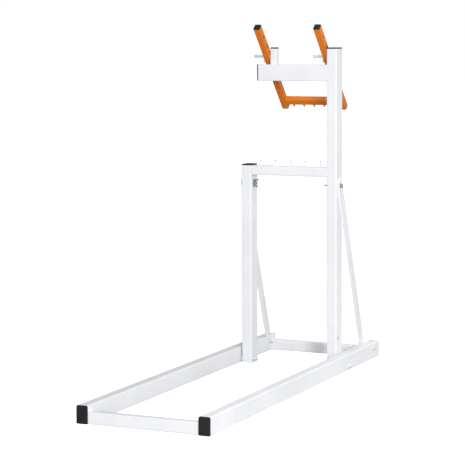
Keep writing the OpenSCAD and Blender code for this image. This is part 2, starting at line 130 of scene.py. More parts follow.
class SawStandColours(bpy.types.PropertyGroup):
    """Colours of the finishes."""

    white: FloatVectorProperty(name="White coat", description="White powder coat", size=4,
                               subtype="COLOR", default=linear("#EFF0F3"))
    white_shade: FloatVectorProperty(name="White coat, thin", size=4, subtype="COLOR",
                                     description="White powder coat where it lies thinner",
                                     default=linear("#E6E8EB"))
    orange: FloatVectorProperty(name="Orange coat", description="Orange powder coat", size=4,
                                subtype="COLOR", default=linear("#E48106"))
    orange_shade: FloatVectorProperty(name="Orange coat, thin", size=4, subtype="COLOR",
                                      description="Orange powder coat where it lies thinner",
                                      default=linear("#D66F02"))
    black: FloatVectorProperty(name="Cap", description="Black polyethylene", size=4,
                               subtype="COLOR", default=linear("#121114"))
    black_bloom: FloatVectorProperty(name="Cap bloom", size=4, subtype="COLOR",
                                     description="Polyethylene where it is rubbed dull",
                                     default=linear("#1D1C1F"))
    zinc: FloatVectorProperty(name="Zinc", description="Bright zinc plate", size=4,
                              subtype="COLOR", default=linear("#F3F4F6"))
    zinc_blue: FloatVectorProperty(name="Zinc, passivated", size=4, subtype="COLOR",
                                   description="Zinc plate with a blue passivation",
                                   default=linear("#E0E6ED"))
    zinc_dull: FloatVectorProperty(name="Dull zinc", description="Zinc plate that has been handled", size=4,
                                   subtype="COLOR", default=linear("#BEC1C6"))
    zinc_dark: FloatVectorProperty(name="Dull zinc, stained", size=4, subtype="COLOR",
                                   description="Handled zinc plate where it is stained",
                                   default=linear("#959AA1"))
    steel: FloatVectorProperty(name="Bare steel", description="Steel where the coat is worn off", size=4,
                               subtype="COLOR", default=linear("#8E8B88"))
    nylon: FloatVectorProperty(name="Nylon", description="Nylon ring of the lock nuts", size=4,
                               subtype="COLOR", default=linear("#DCE3E8"))
    floor: FloatVectorProperty(name="Floor", description="Pale studio floor", size=4,
                               subtype="COLOR", default=linear("#C4C4C4"))


class SawStandStage(bpy.types.PropertyGroup):
    """Camera and lights of the studio."""

    camera_place: FloatVectorProperty(name="Camera", description="Place of the camera", size=3,
                                      subtype="TRANSLATION", default=(2.5805, -5.7076, 1.2442))
    camera_turn: FloatProperty(name="Camera turn", description="Turn of the view to the left of +Y",
                               default=math.radians(24.5904), subtype="ANGLE")
    camera_tilt: FloatProperty(name="Camera tilt", description="Tilt of the view below the horizon",
                               default=math.radians(4.9176), subtype="ANGLE")
    camera_roll: FloatProperty(name="Camera roll", description="Roll of the view about its own axis",
                               default=math.radians(-0.2067), subtype="ANGLE")
    camera_lens: FloatProperty(name="Lens", description="Focal length on a 36 mm sensor",
                               default=140.36, unit="CAMERA")
    camera_shift: FloatProperty(name="Lens shift", description="Shift of the lens, in picture heights",
                                default=-0.1)
    key_power: FloatProperty(name="Key", description="Power of the soft light beside the camera",
                             default=380.0, unit="POWER")
    jaw_power: FloatProperty(name="Jaw", description="Power of the gridded light over the jaw",
                             default=0.1, unit="POWER")
    top_power: FloatProperty(name="Top", description="Power of the gridded light over the tall post's rail",
                             default=1.34, unit="POWER")
    air: FloatProperty(name="Air", description="Strength of the even light from all round", default=0.275)
    air_front: FloatProperty(name="Air, front", description="Added strength of the air at the front",
                             default=0.58)
    air_back: FloatProperty(name="Air, back", description="Added strength of the air at the back",
                            default=0.35)
    air_right: FloatProperty(name="Air, right", description="Added strength of the air at the right",
                             default=0.69)
    air_above: FloatProperty(name="Air, above", description="Added strength of the air above", default=0.015)
    paper: FloatProperty(name="Paper", description="How far the floor is burnt out to white",
                         default=0.9, min=0.0, max=1.0, subtype="FACTOR")


def settings(context):
    """The three groups of settings."""
    scene = context.scene
    return scene.saw_stand_sizes, scene.saw_stand_colours, scene.saw_stand_stage


# Materials

def add_node(tree, kind, inputs=None, **traits):
    """Adds a node, sets its traits, and sets or links its inputs."""
    node = tree.nodes.new(kind)
    for name, value in traits.items():
        setattr(node, name, value)
    for name, value in (inputs or {}).items():
        if isinstance(value, bpy.types.NodeSocket):
            tree.links.new(value, node.inputs[name])
        else:
            node.inputs[name].default_value = value
    return node


def new_material(name, shader):
    """A material, its tree, its object coordinates and its shader, which is linked to the output. Where the
    material was made before, it comes without the rest."""
    found = bpy.data.materials.get(name)
    if found:
        return found, None, None, None
    material = bpy.data.materials.new(name)
    material.use_nodes = True
    tree = material.node_tree
    tree.nodes.clear()
    place = add_node(tree, "ShaderNodeTexCoord").outputs["Object"]
    bsdf = add_node(tree, "ShaderNodeBsdfPrincipled", shader)
    add_node(tree, "ShaderNodeOutputMaterial", {"Surface": bsdf.outputs[0]})
    return material, tree, place, bsdf


# Sockets of a mix node that mixes colours
MIX_FACTOR, MIX_A, MIX_B, MIX_OUT = 0, 6, 7, 2


def dress(tree, bsdf, sources):
    """Links each source to the shader's input of that name."""
    for name, source in sources.items():
        tree.links.new(source, bsdf.inputs[name])


def powder_coat(name, coat, thin, smooth, rough):
    """Polyester powder coat, sprayed and baked on steel: half gloss, with a slow orange-peel ripple that
    bends reflections, and broad clouds where the coat lies thicker or thinner. The real ripple is 1 to 2 mm
    wide, too fine to show here, so it is drawn 7 mm wide and flat."""
    material, tree, place, bsdf = new_material(name, {"IOR": 1.43})
    if tree is None:
        return material
    cloud_mm, peel_mm, rub_mm = 180, 7, 45
    cloud = add_node(tree, "ShaderNodeTexNoise", {"Vector": place, "Scale": 1000 / cloud_mm, "Detail": 3.0})
    share = add_node(tree, "ShaderNodeMapRange",
                     {"Value": cloud.outputs[0], "From Min": 0.35, "From Max": 0.7})
    colour = add_node(tree, "ShaderNodeMix", {MIX_FACTOR: share.outputs[0], MIX_A: coat, MIX_B: thin},
                      data_type="RGBA")
    rub = add_node(tree, "ShaderNodeTexNoise", {"Vector": place, "Scale": 1000 / rub_mm, "Detail": 5.0})
    dull = add_node(tree, "ShaderNodeMapRange", {"Value": rub.outputs[0], "From Min": 0.3, "From Max": 0.75,
                                                 "To Min": smooth, "To Max": rough})
    peel = add_node(tree, "ShaderNodeTexNoise", {"Vector": place, "Scale": 1000 / peel_mm, "Detail": 1.0})
    bump = add_node(tree, "ShaderNodeBump",
                    {"Height": peel.outputs[0], "Strength": 0.1, "Distance": 0.0008})
    dress(tree, bsdf, {"Base Color": colour.outputs[MIX_OUT], "Roughness": dull.outputs[0],
                       "Normal": bump.outputs[0]})
    return material


def worn_coat(name, coat, steel):
    """Powder coat on a spike: whole at the root, rubbed through to bare steel towards the point, in
    flakes."""
    material, tree, place, bsdf = new_material(name, {"IOR": 1.5})
    if tree is None:
        return material
    flake_mm = 3
    wear = add_node(tree, "ShaderNodeAttribute", attribute_name="wear")
    flake = add_node(tree, "ShaderNodeTexNoise", {"Vector": place, "Scale": 1000 / flake_mm, "Detail": 4.0})
    reach = add_node(tree, "ShaderNodeMath", {0: wear.outputs["Fac"], 1: flake.outputs[0]}, operation="ADD")
    bare = add_node(tree, "ShaderNodeMapRange",
                    {"Value": reach.outputs[0], "From Min": 1.32, "From Max": 1.4})
    colour = add_node(tree, "ShaderNodeMix", {MIX_FACTOR: bare.outputs[0], MIX_A: coat, MIX_B: steel},
                      data_type="RGBA")
    shine = add_node(tree, "ShaderNodeMapRange",
                     {"Value": bare.outputs[0], "To Min": 0.36, "To Max": 0.45})
    bump = add_node(tree, "ShaderNodeBump",
                    {"Height": bare.outputs[0], "Strength": 0.4, "Distance": 0.0002}, invert=True)
    dress(tree, bsdf, {"Base Color": colour.outputs[MIX_OUT], "Metallic": bare.outputs[0],
                       "Roughness": shine.outputs[0], "Normal": bump.outputs[0]})
    return material


def moulded_polyethylene(name, black, bloom):
    """Low-density polyethylene, moulded in a spark-eroded tool: soft black with a waxy, uneven sheen. The
    real grain is under 0.5 mm, too fine to show here, so it is drawn 2 mm wide."""
    material, tree, place, bsdf = new_material(name, {"IOR": 1.44})
    if tree is None:
        return material
    grain_mm, bloom_mm = 2, 22
    cloud = add_node(tree, "ShaderNodeTexNoise", {"Vector": place, "Scale": 1000 / bloom_mm, "Detail": 4.0})
    share = add_node(tree, "ShaderNodeMapRange",
                     {"Value": cloud.outputs[0], "From Min": 0.4, "From Max": 0.75})
    colour = add_node(tree, "ShaderNodeMix", {MIX_FACTOR: share.outputs[0], MIX_A: black, MIX_B: bloom},
                      data_type="RGBA")
    sheen = add_node(tree, "ShaderNodeMapRange",
                     {"Value": cloud.outputs[0], "To Min": 0.36, "To Max": 0.58})
    grain = add_node(tree, "ShaderNodeTexNoise", {"Vector": place, "Scale": 1000 / grain_mm, "Detail": 2.0})
    bump = add_node(tree, "ShaderNodeBump",
                    {"Height": grain.outputs[0], "Strength": 0.25, "Distance": 0.0003})
    dress(tree, bsdf, {"Base Color": colour.outputs[MIX_OUT], "Roughness": sheen.outputs[0],
                       "Normal": bump.outputs[0]})
    return material


def zinc_plate(name, zinc, tarnish, metal):
    """Electroplated zinc: a soft silver metal whose tint drifts towards its passivation or its stains, with
    a slight frost from the plating bath. A metal share under 1 gives it a milky film."""
    material, tree, place, bsdf = new_material(name, {"Metallic": metal})
    if tree is None:
        return material
    tint_mm, frost_mm = 9, 1.5
    tint = add_node(tree, "ShaderNodeTexNoise", {"Vector": place, "Scale": 1000 / tint_mm, "Detail": 3.0})
    share = add_node(tree, "ShaderNodeMapRange",
                     {"Value": tint.outputs[0], "From Min": 0.35, "From Max": 0.7})
    colour = add_node(tree, "ShaderNodeMix", {MIX_FACTOR: share.outputs[0], MIX_A: zinc, MIX_B: tarnish},
                      data_type="RGBA")
    frost = add_node(tree, "ShaderNodeTexNoise", {"Vector": place, "Scale": 1000 / frost_mm, "Detail": 2.0})
    dull = add_node(tree, "ShaderNodeMapRange",
                    {"Value": frost.outputs[0], "To Min": 0.34, "To Max": 0.52})
    bump = add_node(tree, "ShaderNodeBump",
                    {"Height": frost.outputs[0], "Strength": 0.12, "Distance": 0.0002})
    dress(tree, bsdf, {"Base Color": colour.outputs[MIX_OUT], "Roughness": dull.outputs[0],
                       "Normal": bump.outputs[0]})
    return material


def natural_nylon(name, nylon):
    """Natural polyamide, pressed into the nut's collar: milky, slightly glossy, creased by the thread."""
    material, tree, place, bsdf = new_material(name, {"IOR": 1.53, "Roughness": 0.4})
    if tree is None:
        return material
    crease_mm, crease_tone = 1.2, 0.8
    creased = [c * crease_tone for c in nylon[:3]] + [1.0]
    crease = add_node(tree, "ShaderNodeTexNoise",
                      {"Vector": place, "Scale": 1000 / crease_mm, "Detail": 2.0})
    tone = add_node(tree, "ShaderNodeMix", {MIX_FACTOR: crease.outputs[0], MIX_A: nylon, MIX_B: creased},
                    data_type="RGBA")
    bump = add_node(tree, "ShaderNodeBump",
                    {"Height": crease.outputs[0], "Strength": 0.2, "Distance": 0.0002})
    dress(tree, bsdf, {"Base Color": tone.outputs[MIX_OUT], "Normal": bump.outputs[0]})
    return material


def white_coat(c):
    """Satin white of the stand's tubes and bars."""
    return powder_coat("white_polyester_powder_coat", c.white[:], c.white_shade[:], 0.42, 0.58)


def orange_coat(c):
    """Glossier orange of the jaw."""
    return powder_coat("orange_polyester_powder_coat", c.orange[:], c.orange_shade[:], 0.28, 0.42)


def black_cap(c):
    """Soft black of the plug caps."""
    return moulded_polyethylene("black_moulded_polyethylene", c.black[:], c.black_bloom[:])


def bright_zinc(c):
    """Pale, bluish silver of the pins, clips, spacers and lower bolts."""
    return zinc_plate("blue_passivated_zinc_plate", c.zinc[:], c.zinc_blue[:], 0.65)


def dull_zinc(c):
    """Greyer silver of the bolts and wing nuts at the brace heads, which hands have turned."""
    return zinc_plate("handled_zinc_plate", c.zinc_dull[:], c.zinc_dark[:], 1.0)


# Mesh building

TURNED_SHARP = 35
BROKEN_SHARP = 30
BEAD_SHARP = 60


def new_piece(name, bm, body, materials, replaces=(), sharp=TURNED_SHARP):
    """Turns a mesh in progress into a piece that rides on a body. Edges bent further than sharp degrees stay
    crisp."""
    bmesh.ops.recalc_face_normals(bm, faces=bm.faces)
    mesh = bpy.data.meshes.new(name)
    bm.to_mesh(mesh)
    bm.free()
    mesh.shade_smooth()
    mesh.set_sharp_from_angle(angle=math.radians(sharp))
    for material in materials:
        mesh.materials.append(material)
    piece = bpy.data.objects.new(name, mesh)
    bpy.context.scene.collection.objects.link(piece)
    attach(piece, body)
    if replaces:
        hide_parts(*replaces)


def loft(bm, rings, around):
    """Joins rings of points into a skin. around closes the last ring to the first, otherwise both ends are
    capped."""
    made = [[bm.verts.new(p) for p in ring] for ring in rings]
    pairs = list(zip(made, made[1:]))
    if around:
        pairs.append((made[-1], made[0]))
    count = len(made[0])
    for a, b in pairs:
        for i in range(count):
            j = (i + 1) % count
            bm.faces.new((a[i], a[j], b[j], b[i]))
    if not around:
        bm.faces.new(made[0][::-1])
        bm.faces.new(made[-1])


def revolve(bm, stations, steps, place, around=False, materials=None):
    """Turns stations about the X axis of place. A station is (x, radius), each a number or a function of the
    angle. materials names the material of some bands between stations."""
    def measure(value, angle):
        return value(angle) if callable(value) else value

    angles = [2 * math.pi * i / steps for i in range(steps)]
    rings = []
    for x, r in stations:
        ring = []
        for a in angles:
            radius = measure(r, a)
            ring.append(place @ Vector((measure(x, a), radius * math.cos(a), radius * math.sin(a))))
        rings.append(ring)
    before = len(bm.faces)
    loft(bm, rings, around)
    if materials:
        bm.faces.ensure_lookup_table()
        for band, material in materials.items():
            for i in range(steps):
                bm.faces[before + band * steps + i].material_index = material


def rounded_outline(w, h, r, corner_steps):
    """Points and outward normals round a rectangle with round corners."""
    out = []
    for k, (sx, sy) in enumerate(((1, 1), (-1, 1), (-1, -1), (1, -1))):
        for i in range(corner_steps + 1):
            a = math.pi / 2 * (k + i / corner_steps)
            n = Vector((math.cos(a), math.sin(a)))
            centre = Vector((sx * (w / 2 - r), sy * (h / 2 - r)))
            out.append((centre + n * r, n))
    return out


def at(point, x_axis, y_axis, z_axis):
    """Matrix that puts a shape's own axes along three directions at a point."""
    m = Matrix((x_axis, y_axis, z_axis)).transposed().to_4x4()
    m.translation = point
    return m


def jaw_matrix(s):
    """Places the jaw's own frame: pivot at the origin, arms upright, leaned as at rest."""
    return Matrix.Translation(PIVOT) @ Matrix.Rotation(s.jaw_lean, 4, "X")


def box_round(points):
    """Lowest and highest corner of a box round points."""
    low = Vector([min(p[i] for p in points) for i in range(3)])
    high = Vector([max(p[i] for p in points) for i in range(3)])
    return low, high


def own_points(node, matrix):
    """Points of a node in another frame."""
    inverse = matrix.inverted()
    return [inverse @ v.co for v in frame["nodes"][node].data.vertices]


def side_span(node, sign):
    """Lowest and highest x of a node's solids on one side of the stand."""
    xs = [v.co.x for v in frame["nodes"][node].data.vertices if v.co.x * sign > 0]
    return min(xs), max(xs)


def middle(node):
    """Middle of a node's box."""
    low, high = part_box(node)
    return (low + high) / 2


# Welds

RIPPLE_POINTS = 4


def weld_bead(bm, path, leg, ripple, closed):
    """Fillet weld along a path of (point, outward, lift) frames: a low convex bead with crescent ripples."""
    arc_steps, root, taper = 5, 0.15, 1.2 * leg
    end_share, crown_share = 0.35, 0.8
    crescent, trough, rise = 0.3, 0.94, 0.1
    lengths = [0.0]
    for (p, _, _), (q, _, _) in zip(path, path[1:]):
        lengths.append(lengths[-1] + (q - p).length)
    rings = []
    for (p, out, lift), run in zip(path, lengths):
        fade = 1.0
        if not closed:
            fade = end_share + (1 - end_share) * min(1.0, run / taper, (lengths[-1] - run) / taper)
        ring = [p - (out + lift) * leg * root]
        for k in range(arc_steps + 1):
            a = math.pi / 2 * k / arc_steps
            wave = (run / ripple + crescent * math.cos(2 * a)) % 1.0
            crown = crown_share + (1 - crown_share) * math.cos(2 * a) ** 2
            size = leg * fade * crown * (trough + rise * wave)
            ring.append(p + (out * math.cos(a) + lift * math.sin(a)) * size)
        rings.append(ring)
    loft(bm, rings, closed)


def split_run(a, b, step):
    """Points from a to b, a step apart or closer."""
    count = max(1, math.ceil((b - a).length / step))
    return [a.lerp(b, i / count) for i in range(count)]


def weld_round(bm, place, w, h, r, leg, ripple, skip=()):
    """Weld round a tube's end that stands on the XY plane of place, left out where it faces a skipped
    side."""
    corner_steps, facing, shortest = 5, 0.5, 4
    step = ripple / RIPPLE_POINTS
    outline = rounded_outline(w, h, r, corner_steps)
    dense = []
    for (p, n), (q, _) in zip(outline, outline[1:] + outline[:1]):
        for point in split_run(p, q, step):
            dense.append((point, n))
    turn = place.to_3x3()
    lift = turn @ Z
    frames = []
    for point, n in dense:
        out = turn @ Vector((n.x, n.y, 0))
        skipped = any(out.dot(d) > facing for d in skip)
        frames.append((place @ Vector((point.x, point.y, 0)), out, lift, skipped))
    if not any(f[3] for f in frames):
        weld_bead(bm, [f[:3] for f in frames], leg, ripple, True)
        return
    first = next(i for i, f in enumerate(frames) if f[3])
    run = []
    for f in frames[first:] + frames[:first] + [frames[first]]:
        if f[3]:
            if len(run) >= shortest:
                weld_bead(bm, run, leg, ripple, False)
            run = []
        else:
            run.append(f[:3])


def weld_line(bm, a, b, out, lift, leg, ripple):
    """Straight weld from a to b."""
    path = [(p, out, lift) for p in split_run(a, b, ripple / RIPPLE_POINTS) + [b]]
    weld_bead(bm, path, leg, ripple, False)


def groove_welds(s, bm, matrix, low, high, ends, faces, r):
    """Fills the grooves that a tube's round edges leave where another tube meets it flush. An end is
    (x, way out), a face is (y, way out)."""
    turn = matrix.to_3x3()
    for x, way in ends:
        for y, out in faces:
            a, b = (matrix @ Vector((x, y - out * r, z)) for z in (low.z, high.z))
            weld_line(bm, a, b, turn @ (X * way), turn @ (Y * out), r, s.weld_ripple)


def tube_end_weld(s, bm, low, high, x, inward, r, skip, matrix=Matrix.Identity(4)):
    """Weld round one end of a tube that runs along X, given by its box in the frame of matrix."""
    centre = (low + high) / 2
    place = matrix @ at(Vector((x, centre.y, centre.z)), Y, inward.cross(Y), inward)
    weld_round(bm, place, high.y - low.y, high.z - low.z, r, s.weld_leg, s.weld_ripple, skip)


def base_welds(s, bm):
    """Cross tubes on the inner faces of the rails; no weld under the base or over the rails' ends."""
    for node, end in (("front_crossbar", -Y), ("rear_crossbar", Y)):
        low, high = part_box(node)
        for x, inward in ((low.x, X), (high.x, -X)):
            tube_end_weld(s, bm, low, high, x, inward, s.beam_corner, (-Z, end))


def beam_welds(s, bm):
    """Both beams on the posts, flush in front, and the pivot stub on the upper beam's rear face."""
    level = Matrix.Identity(4)
    low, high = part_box("lower_beam")
    for x, inward, skip in ((low.x, X, (-Y, Z)), (high.x, -X, (-Y,))):
        tube_end_weld(s, bm, low, high, x, inward, s.beam_corner, skip)
    groove_welds(s, bm, level, low, high, ((low.x, -1), (high.x, 1)), ((low.y, -1),), s.large_corner)
    low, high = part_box("upper_beam")
    groove_welds(s, bm, level, low, high, ((high.x, 1),), ((low.y, -1),), s.large_corner)
    tube_end_weld(s, bm, low, high, high.x, -X, s.beam_corner, (-Y,))
    stub_low, stub_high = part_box("pivot_stub")
    bottom = low.z + s.beam_corner
    top = high.z - s.beam_corner
    for x, out in ((stub_low.x, -X), (stub_high.x, X)):
        weld_line(bm, Vector((x, high.y, bottom)), Vector((x, high.y, top)), out, Y,
                  s.weld_leg, s.weld_ripple)
    weld_line(bm, Vector((stub_low.x + s.small_corner, high.y, high.z)),
              Vector((stub_high.x - s.small_corner, high.y, high.z)), Z, -Y, s.weld_leg, s.weld_ripple)


def jaw_welds(s, bm):
    """Jaw bar between the arms, flush in front and behind."""
    jaw = jaw_matrix(s)
    rear = jaw.to_3x3() @ Y
    low, high = box_round(own_points("jaw_bar", jaw))
    for x, inward in ((low.x, X), (high.x, -X)):
        tube_end_weld(s, bm, low, high, x, inward, s.small_corner, (rear, -rear), jaw)
    groove_welds(s, bm, jaw, low, high, ((low.x, -1), (high.x, 1)), ((low.y, -1), (high.y, 1)),
                 s.small_corner)


# Spikes

def spike_boxes(node, matrix):
    """Box of each spike of a row, in the frame of matrix."""
    gap = 0.012
    points = sorted(own_points(node, matrix), key=lambda p: p.x)
    groups = [[points[0]]]
    for p, q in zip(points, points[1:]):
        if q.x - p.x > gap:
            groups.append([])
        groups[-1].append(q)
    return [box_round(group) for group in groups]


def spike_row(s, bm, welds, node, matrix, up):
    """Pointed plates with broken edges, each welded round its root. up is 1 where they point along +Z."""
    tip_w, bevel_steps = 0.002, 2
    wear = bm.verts.layers.float.new("wear")
    for low, high in spike_boxes(node, matrix):
        centre = (low + high) / 2
        root, tip = (low.z, high.z) if up > 0 else (high.z, low.z)
        half_t = (high.y - low.y) / 2
        half_w = (high.x - low.x) / 2
        faces = []
        for y in (-half_t, half_t):
            outline = ((-half_w, root), (half_w, root), (tip_w / 2, tip), (-tip_w / 2, tip))
            corners = [Vector((centre.x + x, centre.y + y, z)) for x, z in outline]
            faces.append([bm.verts.new(matrix @ corner) for corner in corners])
        sides = [bm.faces.new(faces[0]), bm.faces.new(faces[1][::-1])]
        for i in range(4):
            j = (i + 1) % 4
            sides.append(bm.faces.new((faces[0][j], faces[0][i], faces[1][i], faces[1][j])))
        edges = {e for f in sides for e in f.edges}
        bmesh.ops.bevel(bm, geom=list(edges), offset=s.edge_break, segments=bevel_steps, profile=0.5,
                        affect="EDGES")
        place = matrix @ at(Vector((centre.x, centre.y, root)), X, Y * up, Z * up)
        weld_round(welds, place, 2 * half_w, 2 * half_t, s.edge_break, s.spike_weld_leg, s.weld_ripple)
    inverse = matrix.inverted()
    zs = [(inverse @ v.co).z * up for v in bm.verts]
    for v in bm.verts:
        v[wear] = ((inverse @ v.co).z * up - min(zs)) / (max(zs) - min(zs))


# Fasteners

def hexagon(af):
    """Radius of a hexagon's outline as a function of the angle."""
    sixth = math.pi / 3

    def radius(angle):
        return af / 2 / math.cos((angle + sixth / 2) % sixth - sixth / 2)
    return radius


def bevelled(af, x, way):
    """Height of a hexagon's bevelled rim as a function of the angle, and the radius where the bevel
    starts."""
    flat_share, slope = 0.95, math.tan(math.radians(30))
    outline = hexagon(af)
    flat = flat_share * af / 2
    return (lambda angle: x - way * (outline(angle) - flat) * slope), flat


def bolt(s, bm, place, length, tail):
    """Hexagon bolt: head from x = 0 towards +X, shank towards -X with a rolled thread over its tail."""
    outline = hexagon(s.hex_af)
    rim, flat = bevelled(s.hex_af, s.head_h, 1)
    face_t, inner_share, turn_slices = 0.0004, 0.3, 6
    depth = 0.61 * s.bolt_pitch
    run_out = 0.6 * s.bolt_pitch
    stations = [(s.head_h, flat * inner_share), (s.head_h, flat), (rim, outline), (face_t, outline),
                (face_t, flat), (0, flat), (0, s.bolt_d / 2), (tail - length, s.bolt_d / 2)]
    slices = math.ceil(tail / s.bolt_pitch * turn_slices)
    for i in range(1, slices):
        x = tail - length - tail * i / slices
        end = min(1.0, (x + length) / run_out)

        def thread(angle, x=x, end=end):
            turn = (x / s.bolt_pitch + angle / (2 * math.pi)) % 1.0
            return s.bolt_d / 2 - depth * max(abs(2 * turn - 1) * end, 1 - end)
        stations.append((x, thread))
    stations.append((-length, s.bolt_d / 2 - depth))
    revolve(bm, stations, s.ring_steps, place)


def lock_nut(s, bm, place):
    """Lock nut standing from x = 0 towards -X, its collar rolled over a nylon ring."""
    outline = hexagon(s.hex_af)
    near_rim, flat = bevelled(s.hex_af, 0.0, -1)
    far_rim, _ = bevelled(s.hex_af, -s.nut_h, -1)
    end = -s.nut_h - s.collar_h
    lip = 0.4 * s.collar_h
    collar = 0.9 * flat
    hole = s.bolt_d / 2
    ring = hole + 0.35 * (collar - hole)
    ring_band, ring_material = 9, 1

    def near(angle):
        return -abs(near_rim(angle))

    def far(angle):
        return -s.nut_h + abs(far_rim(angle) + s.nut_h)
    stations = [(0, hole), (0, flat), (near, outline), (far, outline), (-s.nut_h, flat), (-s.nut_h, collar),
                (end + lip, collar), (end, collar - lip), (end, ring), (end + lip / 2, ring),
                (end + lip, hole)]
    revolve(bm, stations, s.ring_steps, place, True, {ring_band: ring_material})


def washer(s, bm, place, d, hole):
    """Punched washer standing from x = 0 towards -X, its outer edge rounded by the punch."""
    t = s.washer_t
    soft = 0.25 * t
    stations = [(0, hole), (0, d / 2 - soft), (-soft, d / 2), (soft - t, d / 2), (-t, d / 2 - soft),
                (-t, hole)]
    revolve(bm, stations, s.ring_steps, place, True)


def side_places(x, y, z):
    """The same place on both sides of the stand, +X pointing away from the middle."""
    return [at(Vector((way * x, y, z)), X * way, Y, Z * way) for way in (1, -1)]


# Group, piece under the bolt heads, piece under the nuts, whether it has wing nuts on wide washers
FASTENED = (
    ("brace_head", "near_brace", "near_post", True),
    ("brace_foot", "near_rail", "near_brace", False),
    ("post_base", "near_rail", "near_post", False),
)


PIN_GAP = 0.00025


def pin_radius():
    """Radius of the pivot pins."""
    low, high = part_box("pivot_pins")
    return (high.z - low.z) / 2


def pin_clip(s, bm, place):
    """Hairpin clip in the YZ plane of place: a straight leg through the pin, a loop and a leg that is waved
    round it."""
    pin_r = pin_radius()
    bend, loop, leg_gap = 0.004, 0.0045, 0.0004
    leg, tip, tip_share = 0.005, 0.0006, 0.75
    sides, loop_steps, bend_steps, hug_steps = 14, 28, 12, 14
    hug = pin_r + PIN_GAP + s.clip_wire / 2
    wave = hug + bend
    a = math.acos((bend + s.clip_wire + leg_gap) / wave)
    wy, wz = wave * math.cos(a), wave * math.sin(a)
    neck = Vector((wy - bend * math.cos(a), -wz - bend * math.sin(a)))
    slope = (loop * (1 + math.cos(a)) - neck.x) / math.sin(a)
    loop_z = neck.y - slope * math.cos(a) - loop * math.sin(a)

    def arc(y, z, r, start, stop, steps):
        turns = [start + (stop - start) * i / steps for i in range(steps + 1)]
        return [Vector((y + r * math.cos(t), z + r * math.sin(t))) for t in turns]

    half = math.pi
    path = [Vector((0, pin_r + leg)), Vector((0, pin_r + leg - tip))]
    path += arc(loop, loop_z, loop, half, 2 * half + a, loop_steps)
    path += arc(wy, -wz, bend, half + a, half - a, bend_steps)
    path += arc(0, 0, hug, -a, a, hug_steps)[1:]
    path += arc(wy, wz, bend, half + a, half - a, bend_steps)[1:]
    rings = []
    for i, p in enumerate(path):
        ahead = (path[min(i + 1, len(path) - 1)] - path[max(i - 1, 0)]).normalized()
        r = s.clip_wire / 2 * (tip_share if i in (0, len(path) - 1) else 1.0)
        ring = []
        for k in range(sides):
            t = 2 * math.pi * k / sides
            out = r * math.cos(t)
            ring.append(place @ Vector((r * math.sin(t), p.x + out * ahead.y, p.y - out * ahead.x)))
        rings.append(ring)
    loft(bm, rings, False)


# End caps

def end_cap(s, bm, place, w, h, r, head, edge):
    """Moulded plug cap on a tube's end: z = 0 is the tube's end, the head stands up, the ribbed plug hangs
    down."""
    plug, lead, lead_h = 0.015, 0.002, 0.001
    rib_n, rib_t, rib_h, fit = 3, 0.0012, 0.001, 0.0002
    shadow, least_r = 0.0004, 0.0006
    shoulder, shoulder_rise, crown = 0.003, 0.7 * s.cap_dome, 0.007
    edge_steps, corner_steps = 5, 6
    neck = s.tube_wall + fit + rib_h
    stations = [(neck + lead, -plug), (neck, -plug + lead_h)]
    for i in range(rib_n, 0, -1):
        z = -i * plug / (rib_n + 0.5)
        stations += [(neck, z), (neck - rib_h, z), (neck - rib_h, z + rib_t), (neck, z + rib_t)]
    stations += [(neck, 0), (shadow, 0), (shadow, shadow), (0, 2 * shadow)]
    rim = head - s.cap_dome
    for i in range(edge_steps + 1):
        a = math.pi / 2 * i / edge_steps
        stations.append((edge * (1 - math.cos(a)), rim - edge * (1 - math.sin(a))))
    stations += [(edge + shoulder, rim + shoulder_rise), (edge + crown, head)]
    rings = []
    for inset, z in stations:
        outline = rounded_outline(w - 2 * inset, h - 2 * inset, max(r - inset, least_r), corner_steps)
        rings.append([place @ Vector((p.x, p.y, z)) for p, _ in outline])
    loft(bm, rings, False)


# Broken edges

def softened(node, name, width, body, material):
    """Copy of a node with its sharp edges broken, which stands for the node."""
    same, flat, corner = 1e-6, math.radians(0.5), math.radians(45)
    bm = bmesh.new()
    bm.from_mesh(frame["nodes"][node].data)
    bmesh.ops.remove_doubles(bm, verts=bm.verts, dist=same)
    bmesh.ops.dissolve_limit(bm, angle_limit=flat, verts=bm.verts, edges=bm.edges)
    sharp = [e for e in bm.edges if len(e.link_faces) == 2 and e.calc_face_angle() > corner]
    bmesh.ops.bevel(bm, geom=sharp, offset=width, segments=2, profile=0.5, affect="EDGES",
                    clamp_overlap=True)
    new_piece(name, bm, body, [material], (node,), BROKEN_SHARP)


# Operators

class PieceOperator(bpy.types.Operator):
    """Base of the operators, which hands the settings to make."""

    bl_options = {"REGISTER", "UNDO"}

    def execute(self, context):
        self.make(*settings(context))
        return {"FINISHED"}


class SAWSTAND_OT_coats(PieceOperator):
    """Gives the frame's tubes their powder coat and its pins and spacers their zinc plate."""

    bl_idname = "sawstand.coats"
    bl_label = "Coats"

    def make(self, sizes, colours, stage):
        plain = {node: white_coat(colours) for node in WHITE_NODES}
        plain["jaw_bar"] = orange_coat(colours)
        for node in ("pivot_pins", "post_spacers"):
            plain[node] = bright_zinc(colours)
        for node, material in plain.items():
            frame["nodes"][node].data.materials[0] = material


class SAWSTAND_OT_bars(PieceOperator):
    """Makes the braces and the jaw arms with broken edges."""

    bl_idname = "sawstand.bars"
    bl_label = "Braces and arms"

    def make(self, sizes, colours, stage):
        sheared, sawn = 1.4 * sizes.edge_break, 0.6 * sizes.edge_break
        for side in ("near", "far"):
            softened(f"{side}_brace", f"{side}_brace_bar", sheared, "stand",
                     white_coat(colours))
            softened(f"{side}_jaw_arm", f"{side}_jaw_arm_tube", sawn, "jaw",
                     orange_coat(colours))


